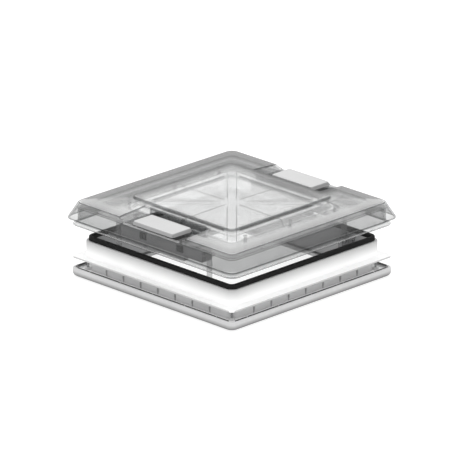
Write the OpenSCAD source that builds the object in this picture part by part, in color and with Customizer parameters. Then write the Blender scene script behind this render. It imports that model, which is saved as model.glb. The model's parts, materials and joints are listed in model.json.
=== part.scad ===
// Lift-and-tilt roof vent for a square roof cut-out: a clear double dome on two lift bars,
// a white outer frame with its seal, and a pale interior trim ring. Millimetres, +Z up,
// origin at the middle of the trim's lower face, drawn with the dome fully raised.

/* [Roof] */
// Side of the square hole in the roof
roof_cutout = 400; // [380:1:420]
// Thickness of the roof between the trim's rim and the flange
roof_thickness = 20; // [14:1:40]

/* [Outer frame] */
// Width of the roof flange outside the upstand
flange_w = 17.5; // [14:0.5:32]
// Thickness of the roof flange
flange_t = 3; // [2:0.5:5]
// Corner radius of the roof flange
flange_corner_r = 12; // [6:1:20]
// Distance of the upstand's face outside the roof cut-out
upstand_reach = 2.5; // [1.5:0.5:6]
// Height of the upstand above the flange
upstand_h = 32; // [28:1:45]
// Corner radius of the upstand
upstand_corner_r = 16; // [10:1:20]
// Wall of the upstand, neck and ledge
frame_wall = 2.5; // [2:0.5:3.5]
// Gap between the roof cut-out and the trim sleeve
cutout_gap = 1; // [0.5:0.5:2]
// Gap between the frame's neck and the trim sleeve
neck_gap = 0.5; // [0.3:0.1:1]
// Height of the neck's lower edge above the trim's lower face
neck_bottom = 10; // [6:1:16]

/* [Liner] */
// Wall of the liner sleeve inside the neck
liner_wall = 2.5; // [2:0.5:4]
// Gap between liner and neck
liner_gap = 0.2; // [0.1:0.1:0.5]
// Inner corner radius of the liner
liner_corner_r = 18; // [12:1:24]

/* [Seal] */
// Width of the seal
seal_w = 8; // [6:0.5:10]
// Height of the uncompressed seal
seal_h = 7; // [5:0.5:9]
// Setback of the seal from the upstand's face
seal_setback = 3.5; // [2.5:0.5:5]

/* [Interior trim] */
// Distance of the trim ring's edge outside the flange's edge
trim_reach = 0; // [-4:0.5:10]
// Height of the trim ring
trim_h = 19; // [16:1:24]
// Wall of the trim
trim_wall = 2.5; // [2:0.5:3.5]
// Corner radius of the trim ring
trim_corner_r = 12; // [10:1:20]
// Radius of the trim's rounded outer edge
trim_nose_r = 8; // [5:1:10]
// Width of the trim's edge that shows inside the liner
trim_lap = 3.8; // [3:0.1:8]
// Height of the lip around the opening
trim_lip_h = 7; // [4:1:9]
// Height of the trim's sleeve above its floor
sleeve_h = 25; // [20:1:30]
// Number of gusset ribs on each side of the trim
gussets_per_side = 7; // [4:1:10]
// Spacing of the gusset ribs
gusset_pitch = 46.8; // [34:0.1:48]
// Thickness of a gusset rib
gusset_t = 2; // [1.5:0.5:3]
// Length of a gusset rib
gusset_len = 10; // [6:1:14]
// Height of a gusset rib
gusset_h = 14; // [8:1:15]

/* [Clamp screws] */
// Diameter of the clamp screws
clamp_screw_d = 4; // [3:0.5:5]
// Head diameter of the clamp screws
clamp_head_d = 8; // [7:0.5:9]
// Head height of the clamp screws
clamp_head_h = 3; // [2:0.5:4]
// Diameter of the screw bosses
clamp_boss_d = 9; // [8:0.5:10]
// Length of the frame's boss below the flange
clamp_boss_drop = 9; // [6:1:12]

/* [Dome] */
// Gap between the inner pan's wall and the outer dome's rim
dome_gap = 13.3; // [11:0.1:20]
// Corner radius of the outer dome at its rim
dome_corner_r = 18; // [12:1:24]
// Inward lean of the skirt from rim to roof
skirt_lean = 15.2; // [12:0.1:17]
// Height of the skirt
skirt_h = 34.5; // [30:0.5:40]
// Height of the straight lip at the rim
rim_lip_h = 2.5; // [1.5:0.5:4]
// Height of the rounded shoulder between skirt and roof
shoulder_h = 4.5; // [3:0.5:6]
// Rise of the roof from the shoulder to the raised panel
roof_rise = 5; // [3:0.5:8]
// Distance of the raised panel from the notches
panel_gap = 9; // [6:0.5:24]
// Height of the step around the raised panel
panel_step = 6; // [4:0.5:9]
// Crown of the raised panel
panel_crown = 2.5; // [1:0.5:5]
// Corner radius of the raised panel
panel_corner_r = 14; // [8:1:20]
// Wall of both shells
shell_t = 3; // [2:0.5:4]
// Height between the inner pan's shelf and the dome's shoulder
shell_gap = 16.8; // [14:0.2:22]

/* [Inner pan] */
// Gap between the upstand and the inner pan's wall
pan_gap = 11.9; // [10:0.1:16]
// Corner radius of the inner pan's wall
pan_corner_r = 17; // [12:1:22]
// Height of the inner pan's wall
pan_wall_h = 24.5; // [20:0.5:30]
// Draft of the inner pan's wall
pan_draft = 1.2; // [0.6:0.1:2]
// Outward reach of the pan's rim
pan_rim_w = 7.3; // [5:0.1:9]
// Drop of the pan's rim below its wall
pan_rim_drop = 5.8; // [4:0.1:8]
// Distance of the star's edge outside the notch's inner wall
star_gap = 5.5; // [2:0.5:10]
// Rise of the star from the shelf to the middle
star_rise = 9; // [6:0.5:11]
// Rise of the star's fold at the middle of each side
star_fold = 2.5; // [1:0.5:4]

/* [Notches and cover plates] */
// Distance of a notch's ends from its cover plate
notch_margin = 37; // [32:1:42]
// Inset of the notch's sloping ends at its floor
notch_slope = 14; // [8:1:16]
// Depth of the notch below the shoulder
notch_depth = 8.5; // [7:0.5:9]
// Distance of the notch's inner wall from the hinge axis
notch_back = 31.5; // [26:0.5:34]
// Height of the platform in the notch
platform_h = 4; // [3:0.5:5]
// Length of a cover plate
plate_len = 106; // [102:1:120]
// Distance of the cover plate's inner edge from the hinge axis
plate_back = 13.5; // [10:0.5:16]
// Thickness of a cover plate
plate_t = 2.5; // [1.5:0.5:3]
// Setback of the cover plate's outer edge from the roof's edge
plate_setback = 1; // [0.5:0.5:4]
// Border of the platform around the plate
plate_border = 1.5; // [1:0.5:3]

/* [Lift bars] */
// Travel of each lift bar
lift_travel = 52.4; // [46:0.2:54]
// Gap left above the free seal when the dome is down
closed_gap = 0.3; // [0.3:0.1:1]
// Drop of the hinge axis below the pan's shelf
hinge_drop = 13.7; // [13:0.1:15]
// Gap between the lift bar and the liner
bar_gap = 1.7; // [1:0.1:3]
// Length of the lift bar's trough
bar_len = 220; // [210:2:240]
// Height of the trough above the hinge axis
bar_above = 8; // [7:0.5:8]
// Depth of the trough below the hinge axis
bar_below = 16; // [13:0.5:18]
// Wall of the trough
bar_wall = 2.5; // [2:0.5:3.5]
// Width inside the trough
trough_w = 21.2; // [21:0.1:24]
// Side of a lift bar's square leg
leg_w = 8; // [7:0.5:9]
// Height of the arm that carries a leg
arm_h = 10; // [8:0.5:11]
// Gap between the trough's end and the guide
guide_end_gap = 4.5; // [3:0.5:6]

/* [Hinges] */
// Diameter of the hinge pins
pin_d = 5; // [4:0.5:6]
// Radial running clearance of the hinge pins
pin_clearance = 0.05; // [0.02:0.01:0.1]
// Distance of the hinge blocks from the middle
block_x = 51; // [48:1:54]
// Length of a hinge block
block_len = 24; // [20:1:26]
// Width of a hinge block
block_w = 10; // [9:0.5:10]
// Side gap between a hinge block and the lift bar
block_gap = 0.5; // [0.4:0.1:1]
// Thickness of the ears beside a hinge block
ear_t = 5.5; // [4:0.5:7]
// Sideways play of the pins in the ears, each way
slot_play = 4.3; // [4.2:0.1:5]
// Vertical clearance of the pins in the ears, each way
slot_clearance = 0.5; // [0.4:0.1:0.8]
// Thickness of the hinge block's foot
foot_t = 3; // [2.5:0.5:4]
// Width of the hinge block's foot
foot_w = 18; // [14:1:20]

/* [Guides] */
// Wall of a guide around its leg
guide_wall = 4; // [3:0.5:5]
// Clearance of a leg in its guide
guide_clearance = 0.3; // [0.3:0.05:0.5]
// Height of a guide
guide_h = 31; // [24:1:36]
// Gap between a guide and the arm when the bar is down
guide_stop_gap = 0.6; // [0.4:0.1:1.5]
// Length of a guide's fixing ear
guide_ear_len = 14; // [12:1:18]
// Thickness of a guide's fixing ear
guide_ear_t = 4; // [3:0.5:5]
// Diameter of the guide screws
guide_screw_d = 3; // [2.5:0.5:3.5]
// Thickness of the detent springs
spring_t = 0.8; // [0.5:0.1:1.2]

/* [Handles] */
// Length of a handle
handle_len = 96; // [80:2:120]
// Drop of a handle below its lift bar
handle_drop = 16; // [12:1:20]
// Reach of a handle's lip
handle_lip = 12; // [8:1:16]
// Thickness of a handle
handle_t = 4; // [3:0.5:5]

/* [Dome screws] */
// Diameter of the dome screws
dome_screw_d = 4; // [3:0.5:4]
// Head diameter of the dome screws
dome_head_d = 7; // [6:0.5:8]
// Head height of the dome screws
dome_head_h = 3; // [2:0.5:3]
// Distance of the inner dome screws from the middle
dome_screw_x = 31; // [29:1:33]
// Distance of the inner dome screws from the outer ones
dome_screw_pitch = 16; // [14:1:18]
// Clearance around a screw
screw_gap = 0.2; // [0.1:0.05:0.3]
// Diameter of the spacers and posts between the shells
spacer_d = 8; // [7:0.5:9]
// Distance of the posts outside the star's edge
post_gap = 7; // [5:0.5:15]
// Spacing of the posts along a side
post_pitch = 121; // [100:1:130]

/* [Hidden] */
$fn = 48;
corner_steps = 6;
eps = 0.01;
far = 600;
// How far cutting shapes run past what they cut
cut = 1;

// Nested square sleeves, as half sides, from the roof cut-out inwards
sleeve_out = roof_cutout / 2 - cutout_gap;
sleeve_in = sleeve_out - trim_wall;
neck_out = sleeve_in - neck_gap;
neck_in = neck_out - frame_wall;
liner_out = neck_in - liner_gap;
liner_in = liner_out - liner_wall;
// All sleeves share one corner centre
sleeve_centre = liner_in - liner_corner_r;
upstand_out = roof_cutout / 2 + upstand_reach;
upstand_in = upstand_out - frame_wall;
flange_half = upstand_out + flange_w;
seal_out = upstand_out - seal_setback;
seal_in = seal_out - seal_w;
trim_half = flange_half + trim_reach;
trim_in = liner_in - trim_lap;
// The trim's flat floor laps its rounded edge
trim_floor_lap = 1;
trim_floor_r = 1.5;
gusset_toe = 2;
seal_foot_in = 0.5;

// Heights
flange_z = trim_h + roof_thickness;
upstand_z = flange_z + flange_t;
ledge_z = upstand_z + upstand_h;
seal_top = ledge_z + seal_h;
pan_under = seal_top + lift_travel + closed_gap;
pan_top = pan_under + shell_t;
roof_z = pan_top + shell_gap;
rim_z = roof_z - skirt_h;
floor_z = roof_z - notch_depth;
platform_z = floor_z + platform_h;
axis_z = pan_under - hinge_drop;
bar_top = axis_z + bar_above;
bar_bottom = axis_z - bar_below;

// Lift bars, hinges and guides, for the side at -Y
pin_r = pin_d / 2;
trough_half = trough_w / 2;
bar_half_w = trough_half + bar_wall;
hinge_d = liner_in - bar_gap - bar_half_w;
bar_half = bar_len / 2;
block_in = block_x - block_len / 2;
block_out = block_x + block_len / 2;
pocket_in = block_in - block_gap;
pocket_out = block_out + block_gap;
ear_in = pocket_in - ear_t;
ear_out = pocket_out + ear_t;
clip_t = 1;
clip_w = 2;
clip_r = pin_r + clip_w;
pin_head_gap = 0.5;
clip_setback = 0.2;
pin_end_in = ear_in - clip_t - pin_head_gap;
pin_end_out = ear_out + clip_t + pin_head_gap;
channel_half = leg_w / 2 + guide_clearance;
guide_x = bar_half + guide_end_gap;
leg_x = guide_x + guide_wall + channel_half;
guide_end = leg_x + channel_half + guide_wall;
leg_d = liner_in - guide_wall - channel_half;
arm_bottom = bar_top - arm_h;
guide_top = arm_bottom - lift_travel - guide_stop_gap;
guide_bottom = guide_top - guide_h;
spring_recess = 1;
guide_face = leg_d - channel_half - guide_wall + spring_recess;
leg_floor_gap = 0.8;
leg_bottom = lift_travel + leg_floor_gap;
nose_h = 4;
nose_rise = 5;
nose_z = leg_bottom + nose_rise;
nose_w = 4;
nose_gap = 0.5;
detent_depth = 1;
spring_w = 5;
spring_foot = 4;
guide_screw_r = guide_screw_d / 2;
guide_screw_head_r = guide_screw_d;
guide_screw_head_h = 2;
guide_screw_x = guide_end + guide_ear_len / 2;
guide_screw_inset = 7;
guide_screw_zs = [guide_bottom + guide_screw_inset, guide_top - guide_screw_inset];
screw_end_gap = 0.5;
guide_screw_end = neck_out - screw_end_gap;
guide_screw_len = guide_screw_end - liner_in + guide_ear_t - screw_end_gap;

// Screws
clamp_r = clamp_screw_d / 2;
clamp_boss_r = clamp_boss_d / 2;
clamp_xy = roof_cutout / 2 - clamp_boss_r;
clamp_seat_r = clamp_head_d / 2 + trim_wall;
clamp_cover = 1;
clamp_end_gap = 1;
clamp_end = flange_z + flange_t - clamp_cover - clamp_end_gap;
dome_screw_r = dome_screw_d / 2;
dome_screw_xs = [for (s = [-1, 1], x = [dome_screw_x, dome_screw_x + dome_screw_pitch]) s * x];
dome_screw_end = pan_under - foot_t;
foot_margin = 2;
foot_in = dome_screw_x - dome_head_d / 2 - foot_margin;
foot_out = block_out + foot_margin;

// Colours
clear_tint = [0.82, 0.84, 0.85, 0.45];
white_plastic = [0.95, 0.95, 0.94];
pale_grey = [0.74, 0.74, 0.74];
mid_grey = [0.56, 0.56, 0.57];
dark_grey = [0.3, 0.3, 0.31];
black_plastic = [0.1, 0.1, 0.1];
steel = [0.75, 0.76, 0.78];

// Shells, as half sides
pan_half = upstand_out + pan_gap;
dome_half = pan_half + dome_gap;
dome_top_half = dome_half - skirt_lean;
notch_inner = hinge_d - notch_back;
panel_half = notch_inner - panel_gap;
shelf_inner = notch_inner + star_gap;
post_d = shelf_inner + post_gap;
notch_len = plate_len + 2 * notch_margin;
plate_outer = dome_top_half - plate_setback;
plate_w = plate_outer - hinge_d + plate_back;
plate_corner_r = 3;

// Outer dome as [half side, corner radius, height] rings from rim to crown
step_draft = 2.5;
shoulder_in = 2;
panel_ease = 2;
crown_half = 60;
// Drop of the space's lip and shoulder below the dome's
lip_drop = 0.4;
shoulder_drop = 1.4;
panel_z = roof_z + roof_rise + panel_step;
dome_rings = [
    [dome_half, dome_corner_r, rim_z],
    [dome_half, dome_corner_r, rim_z + rim_lip_h],
    [dome_top_half + shoulder_in, dome_corner_r - shoulder_in, roof_z - shoulder_h],
    [dome_top_half + shoulder_in / 5, dome_corner_r - shoulder_in * 5 / 4, roof_z - shoulder_h / 3],
    [dome_top_half - shoulder_in, dome_corner_r - shoulder_in * 3 / 2, roof_z],
    [panel_half + step_draft, panel_corner_r, roof_z + roof_rise],
    [panel_half, panel_corner_r - panel_ease / 2, panel_z],
    [panel_half - panel_ease, panel_corner_r - panel_ease, panel_z + panel_ease / 2],
    [crown_half, panel_corner_r - 2 * panel_ease, panel_z + panel_crown]
];
// The space under the outer dome, one wall inside it and open past its rim
dome_space = concat(
    [[dome_half - shell_t, dome_corner_r - shell_t, rim_z - cut]],
    [for (i = [1:len(dome_rings) - 1])
        let (p = dome_rings[i], drop = i == 1 ? lip_drop : i == 2 ? shoulder_drop : shell_t)
            [p[0] - shell_t, max(p[1] - shell_t, 2), p[2] - drop]]
);

// Inner pan rings, from its rim to the edge of its shelf
pan_wall_z = pan_top - pan_wall_h;
pan_rim_z = pan_wall_z - pan_rim_drop;
pan_rim_edge = 2;
pan_rim_lap = 0.2;
pan_foot_drop = 1.8;
// Rounded top edge of the pan's wall, as inset, corner inset and drop
pan_ease = [[0, 0, 2.4], [1, 1, 0.6], [2.8, 2.5, 0]];
pan_rings = [
    [pan_half + pan_rim_w, pan_corner_r + pan_rim_w / 2, pan_rim_z],
    [pan_half + pan_rim_w, pan_corner_r + pan_rim_w / 2, pan_rim_z + pan_rim_edge],
    [pan_half, pan_corner_r, pan_wall_z],
    for (e = pan_ease)
        [pan_half - pan_draft - e[0], pan_corner_r - pan_draft - e[1], pan_top - e[2]],
    [shelf_inner, panel_corner_r, pan_top]
];
pan_space = concat(
    [for (z = [pan_rim_z - cut, pan_rim_z + pan_rim_lap])
        [pan_half + pan_rim_w - pan_rim_edge, pan_corner_r + pan_rim_w / 2 - pan_rim_edge, z]],
    [for (i = [2:len(pan_rings) - 2]) let (p = pan_rings[i])
        [p[0] - shell_t, p[1] - shell_t, p[2] - (i == 2 ? pan_foot_drop : shell_t)]],
    [[shelf_inner, panel_corner_r, pan_under]]
);

// The pan's star and the space under it
star_half = 8;
star_peak = 0.3;
star_sink = 0.5;
star_rings = [
    [shelf_inner, panel_corner_r, pan_under + star_sink],
    [shelf_inner, panel_corner_r, pan_top],
    [star_half, star_half / 4, pan_top + star_rise]
];
star_space = [
    [shelf_inner - shell_t, panel_corner_r - shell_t, pan_under - cut],
    [shelf_inner - shell_t, panel_corner_r - shell_t, pan_under + eps],
    [star_half, star_half / 4, pan_under + star_rise]
];

// Points along an arc in a profile
function arc(centre, r, from, to, steps = 6) = [
    for (i = [0:steps]) let (a = from + (to - from) * i / steps)
        [centre[0] + r * cos(a), centre[1] + r * sin(a)]
];

// One ring of a shell: rounded corners, with a point at the middle of each side
function ring_points(ring, fold = 0) = [
    for (q = [0:3], i = [0:corner_steps + 1])
        let (c = ring[0] - ring[1], a = q * 90 + i * 90 / corner_steps)
            i > corner_steps
                ? [ring[0] * cos(q * 90 + 90), ring[0] * sin(q * 90 + 90), ring[2] + fold]
                : [c * corner_x(q) + ring[1] * cos(a), c * corner_y(q) + ring[1] * sin(a), ring[2]]
];
function corner_x(q) = q == 0 || q == 3 ? 1 : -1;
function corner_y(q) = q < 2 ? 1 : -1;
ring_count = 4 * (corner_steps + 2);

// A closed solid through a stack of rings, flat at the bottom and top
module loft(rings, top_fold = 0, top_peak = 0) {
    last = len(rings) - 1;
    points = concat(
        [for (i = [0:last]) each ring_points(rings[i], i == last ? top_fold : 0)],
        [[0, 0, rings[0][2]], [0, 0, rings[last][2] + top_peak]]
    );
    low = len(points) - 2;
    high = len(points) - 1;
    faces = concat(
        [for (i = [0:last - 1], j = [0:ring_count - 1]) let (k = (j + 1) % ring_count, b = i * ring_count)
            each [[b + j, b + ring_count + k, b + k], [b + j, b + ring_count + j, b + ring_count + k]]],
        [for (j = [0:ring_count - 1]) [low, j, (j + 1) % ring_count]],
        [for (j = [0:ring_count - 1]) let (b = last * ring_count)
            [high, b + (j + 1) % ring_count, b + j]]
    );
    polyhedron(points, faces, convexity = 6);
}

// Flat square with round corners
module rounded_square(half, r) {
    square([2 * half, 2 * (half - r)], center = true);
    square([2 * (half - r), 2 * half], center = true);
    for (x = [-1, 1], y = [-1, 1])
        translate([x * (half - r), y * (half - r)])
            circle(r);
}

// Square ring between two half sides that share a corner centre
module sleeve(outer, inner, centre, z, top) {
    translate([0, 0, z])
        linear_extrude(top - z)
            difference() {
                rounded_square(outer, outer - centre);
                rounded_square(inner, inner - centre);
            }
}

// Profile of [distance from middle, height] points swept around a square with round corners
module rim_sweep(centre, profile) {
    for (q = [0:3])
        rotate([0, 0, 90 * q]) {
            rotate([90, 0, 0])
                linear_extrude(2 * centre, center = true)
                    polygon(profile);
            translate([centre, centre, 0])
                rotate_extrude(angle = 90)
                    polygon([for (p = profile) [p[0] - centre, p[1]]]);
        }
}

module at_corners(xy) {
    for (x = [-1, 1], y = [-1, 1])
        translate([x * xy, y * xy, 0])
            children();
}

// A piece drawn for the -Y side, turned to the +Y side
module to_rear() {
    rotate([0, 0, 180])
        children();
}

module along_x(r, from, to) {
    translate([from, 0, 0])
        rotate([0, 90, 0])
            cylinder(r = r, h = to - from);
}

module box(from, to) {
    translate(from)
        cube(to - from);
}

// Screw holes of all guides, from the liner outwards
module guide_screw_holes() {
    for (turn = [0, 180], side = [-1, 1], z = guide_screw_zs)
        rotate([0, 0, turn])
            translate([side * guide_screw_x, -liner_in + cut, z])
                rotate([90, 0, 0])
                    cylinder(r = guide_screw_r + screw_gap / 2, h = guide_screw_end - liner_in + cut + eps);
}

module outer_frame() {
    color(white_plastic)
        difference() {
            union() {
                translate([0, 0, flange_z])
                    linear_extrude(flange_t)
                        difference() {
                            rounded_square(flange_half, flange_corner_r);
                            rounded_square(upstand_in, upstand_corner_r - frame_wall);
                        }
                sleeve(upstand_out, upstand_in, upstand_out - upstand_corner_r, flange_z, ledge_z);
                translate([0, 0, ledge_z - frame_wall])
                    linear_extrude(frame_wall)
                        difference() {
                            rounded_square(upstand_out, upstand_corner_r);
                            rounded_square(neck_in, neck_in - sleeve_centre);
                        }
                sleeve(neck_out, neck_in, sleeve_centre, neck_bottom, ledge_z);
                at_corners(clamp_xy)
                    translate([0, 0, flange_z - clamp_boss_drop])
                        cylinder(r = clamp_boss_r, h = clamp_boss_drop + flange_t);
            }
            at_corners(clamp_xy)
                translate([0, 0, flange_z - clamp_boss_drop - eps])
                    cylinder(r = clamp_r + screw_gap / 2, h = clamp_boss_drop + flange_t - clamp_cover);
            guide_screw_holes();
        }
}

module neck_liner() {
    color(mid_grey)
        difference() {
            sleeve(liner_out, liner_in, sleeve_centre, neck_bottom, ledge_z);
            guide_screw_holes();
        }
}

module inner_trim() {
    nose = trim_half - trim_nose_r;
    edge = trim_wall / 2;
    profile = concat(
        [[trim_half - trim_corner_r, 0]],
        arc([nose, trim_nose_r], trim_nose_r, -90, 0, 8),
        arc([trim_half - edge, trim_h - edge], edge, 0, 180, 8),
        arc([nose, trim_nose_r], trim_nose_r - trim_wall, 0, -90, 8),
        [[trim_half - trim_corner_r, trim_wall]]
    );
    color(pale_grey)
        difference() {
            union() {
                rim_sweep(trim_half - trim_corner_r, profile);
                linear_extrude(trim_wall)
                    difference() {
                        rounded_square(trim_half - trim_corner_r + trim_floor_lap, trim_floor_r);
                        rounded_square(trim_in, trim_in - sleeve_centre);
                    }
                sleeve(sleeve_out, sleeve_in, sleeve_centre, 0, trim_wall + sleeve_h);
                sleeve(trim_in + trim_wall, trim_in, sleeve_centre, 0, trim_lip_h);
                gussets();
                at_corners(clamp_xy) {
                    cylinder(r = clamp_seat_r, h = clamp_head_h + trim_wall);
                    cylinder(r = clamp_boss_r, h = trim_h);
                }
            }
            at_corners(clamp_xy) {
                translate([0, 0, -eps])
                    cylinder(r = clamp_r + screw_gap, h = trim_h + cut);
                translate([0, 0, -eps])
                    cylinder(r = clamp_head_d / 2 + screw_gap, h = clamp_head_h + eps);
            }
        }
}

// Triangular ribs between the trim's floor and its sleeve
module gussets() {
    for (q = [0:3], i = [0:gussets_per_side - 1])
        rotate([0, 0, 90 * q])
            translate([0, (i - (gussets_per_side - 1) / 2) * gusset_pitch, trim_wall])
                rotate([90, 0, 0])
                    linear_extrude(gusset_t, center = true)
                        polygon([
                            [sleeve_out - eps, -eps],
                            [sleeve_out + gusset_len, -eps],
                            [sleeve_out + gusset_len, gusset_toe],
                            [sleeve_out - eps, gusset_h]
                        ]);
}

module dome_seal() {
    bulb = seal_h / 2;
    color(black_plastic)
        rim_sweep(seal_out - upstand_corner_r, concat(
            [[seal_in + seal_foot_in, ledge_z], [seal_out - seal_foot_in, ledge_z]],
            arc([seal_out - bulb, seal_top - bulb], bulb, 0, 90),
            arc([seal_in + bulb, seal_top - bulb], bulb, 90, 180)
        ));
}

module clamp_screws() {
    color(steel)
        at_corners(clamp_xy) {
            cylinder(r = clamp_head_d / 2, h = clamp_head_h);
            cylinder(r = clamp_r, h = clamp_end);
        }
}

// Guide for one leg: a square channel with a spring window and a fixing ear
module guide(side) {
    mirror([side < 0 ? 1 : 0, 0, 0])
        difference() {
            union() {
                box([guide_x, -liner_in, guide_bottom], [guide_end, -guide_face, guide_top]);
                box([guide_end - eps, -liner_in, guide_bottom],
                    [guide_end + guide_ear_len, -liner_in + guide_ear_t, guide_top]);
            }
            box([leg_x - channel_half, -leg_d - channel_half, guide_bottom - cut],
                [leg_x + channel_half, -leg_d + channel_half, guide_top + cut]);
            box([leg_x - nose_w / 2 - guide_clearance, -leg_d, nose_z - nose_gap],
                [leg_x + nose_w / 2 + guide_clearance, -guide_face + cut, nose_z + nose_h + nose_gap]);
            for (z = guide_screw_zs)
                translate([guide_screw_x, -liner_in - cut, z])
                    rotate([-90, 0, 0])
                        cylinder(r = guide_screw_r + screw_gap / 2, h = guide_ear_t + 2 * cut);
        }
}

module front_left_guide() {
    color(dark_grey)
        guide(-1);
}

module front_right_guide() {
    color(dark_grey)
        guide(1);
}

module rear_left_guide() {
    color(dark_grey)
        to_rear()
            guide(1);
}

module rear_right_guide() {
    color(dark_grey)
        to_rear()
            guide(-1);
}

module guide_screws() {
    color(steel)
        for (turn = [0, 180], side = [-1, 1], z = guide_screw_zs)
            rotate([0, 0, turn])
                translate([side * guide_screw_x, -liner_in + guide_ear_t, z])
                    rotate([90, 0, 0]) {
                        translate([0, 0, -guide_screw_head_h])
                            cylinder(r = guide_screw_head_r, h = guide_screw_head_h);
                        cylinder(r = guide_screw_r, h = guide_screw_len);
                    }
}

// Leaf springs on the guides, with a nose that reaches the leg's detents
module detent_springs() {
    color(steel)
        for (turn = [0, 180], side = [-1, 1])
            rotate([0, 0, turn]) {
                x = side * leg_x;
                box([x - spring_w / 2, -guide_face, guide_bottom + spring_foot],
                    [x + spring_w / 2, -guide_face + spring_t, nose_z + nose_h]);
                box([x - nose_w / 2, -leg_d + leg_w / 2 + guide_clearance, nose_z],
                    [x + nose_w / 2, -guide_face + spring_t, nose_z + nose_h]);
            }
}

// Slot for a hinge pin through the ears of one hinge
module pin_slot(from, to) {
    r = pin_r + slot_clearance;
    translate([0, -hinge_d, axis_z]) {
        for (y = [-slot_play, slot_play])
            translate([0, y, 0])
                along_x(r, from, to);
        box([from, -slot_play, -r], [to, slot_play, r]);
    }
}

// Trough with pockets for the hinge blocks, and a leg at each end
module lift_bar() {
    floor_top = bar_bottom + bar_wall;
    difference() {
        union() {
            box([-bar_half, -hinge_d - bar_half_w, bar_bottom], [bar_half, -hinge_d + bar_half_w, bar_top]);
            for (side = [-1, 1])
                mirror([side < 0 ? 1 : 0, 0, 0]) {
                    box([bar_half - eps, -leg_d - leg_w / 2, arm_bottom],
                        [leg_x + leg_w / 2, -hinge_d + leg_w / 2, bar_top]);
                    box([leg_x - leg_w / 2, -leg_d - leg_w / 2, leg_bottom],
                        [leg_x + leg_w / 2, -leg_d + leg_w / 2, bar_top]);
                }
        }
        box([-ear_in, -hinge_d - trough_half, floor_top], [ear_in, -hinge_d + trough_half, bar_top + cut]);
        for (side = [-1, 1])
            mirror([side < 0 ? 1 : 0, 0, 0]) {
                box([pocket_in, -hinge_d - trough_half, floor_top],
                    [pocket_out, -hinge_d + trough_half, bar_top + cut]);
                box([ear_out, -hinge_d - trough_half, floor_top],
                    [bar_half - bar_wall, -hinge_d + trough_half, bar_top + cut]);
                pin_slot(ear_in - cut, ear_out + cut);
                for (z = [nose_z, nose_z + lift_travel])
                    box([leg_x - leg_w, -leg_d + leg_w / 2 - detent_depth, z - nose_gap],
                        [leg_x + leg_w, -leg_d + leg_w, z + nose_h + nose_gap]);
            }
    }
}

module front_lift_bar() {
    color(dark_grey)
        lift_bar();
}

module rear_lift_bar() {
    color(dark_grey)
        to_rear()
            lift_bar();
}

// Pull under a lift bar, with a lip for the fingers
module handle() {
    r = handle_t / 2;
    translate([0, -hinge_d, bar_bottom - handle_drop])
        rotate([90, 0, 90])
            linear_extrude(handle_len, center = true) {
                translate([-r, r])
                    square([handle_t, handle_drop - r]);
                translate([0, r])
                    circle(r);
                translate([0, 0])
                    square([handle_lip - r, handle_t]);
                translate([handle_lip - r, r])
                    circle(r);
            }
}

module front_handle() {
    color(pale_grey)
        handle();
}

module rear_handle() {
    color(pale_grey)
        to_rear()
            handle();
}

// Hinge pin with a head at its outer end
module hinge_pins() {
    for (side = [-1, 1])
        mirror([side < 0 ? 1 : 0, 0, 0])
            translate([0, -hinge_d, axis_z]) {
                along_x(pin_r, pin_end_in, pin_end_out);
                along_x(clip_r, ear_out + pin_head_gap, pin_end_out);
            }
}

module front_pins() {
    color(steel)
        hinge_pins();
}

module rear_pins() {
    color(steel)
        to_rear()
            hinge_pins();
}

// Retaining rings on the inner ends of the pins
module pin_clips() {
    for (side = [-1, 1])
        mirror([side < 0 ? 1 : 0, 0, 0])
            translate([0, -hinge_d, axis_z])
                difference() {
                    along_x(clip_r, pin_end_in + clip_setback, pin_end_in + clip_setback + clip_t);
                    along_x(pin_r + pin_clearance, pin_end_in - cut, ear_in);
                }
}

module front_pin_clips() {
    color(black_plastic)
        pin_clips();
}

module rear_pin_clips() {
    color(black_plastic)
        to_rear()
            pin_clips();
}

// Notch cut from the roof's edge, sunk by an extra wall for the space below it
module notch(wall) {
    top = panel_z - cut;
    run = notch_slope / notch_depth * (top - floor_z);
    half = notch_len / 2 - notch_slope + wall;
    translate([0, -notch_inner + wall, 0])
        rotate([90, 0, 0])
            linear_extrude(far)
                polygon([
                    [-half, floor_z - wall],
                    [half, floor_z - wall],
                    [half + run, top],
                    [-half - run, top]
                ]);
}

module platform() {
    box([-plate_len / 2 - plate_border, -plate_outer - plate_border, floor_z - cut],
        [plate_len / 2 + plate_border, -plate_outer + plate_w + plate_border, platform_z]);
}

module at_dome_screws(z) {
    for (x = dome_screw_xs)
        translate([x, -hinge_d, z])
            children();
}

// The outer dome's cavity, with the underside of both notches left in
module dome_cavity() {
    difference() {
        loft(dome_space);
        notch(shell_t);
        to_rear()
            notch(shell_t);
    }
}

module outer_dome() {
    color(clear_tint)
        difference() {
            union() {
                difference() {
                    loft(dome_rings);
                    notch(0);
                    to_rear()
                        notch(0);
                }
                platform();
                to_rear()
                    platform();
            }
            dome_cavity();
            for (turn = [0, 180])
                rotate([0, 0, turn]) {
                    at_dome_screws(platform_z - dome_head_h)
                        cylinder(r = dome_head_d / 2 + screw_gap, h = dome_head_h + cut);
                    at_dome_screws(floor_z - shell_t - cut)
                        cylinder(r = dome_screw_r + screw_gap, h = shell_t + platform_h + cut);
                }
        }
}

module inner_dome() {
    color(clear_tint)
        difference() {
            union() {
                loft(pan_rings);
                loft(star_rings, star_fold / 4, star_peak);
            }
            loft(pan_space);
            loft(star_space, star_fold / 4, star_peak);
            for (turn = [0, 180])
                rotate([0, 0, turn])
                    at_dome_screws(pan_under - cut)
                        cylinder(r = dome_screw_r + screw_gap, h = shell_t + 2 * cut);
        }
}

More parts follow.
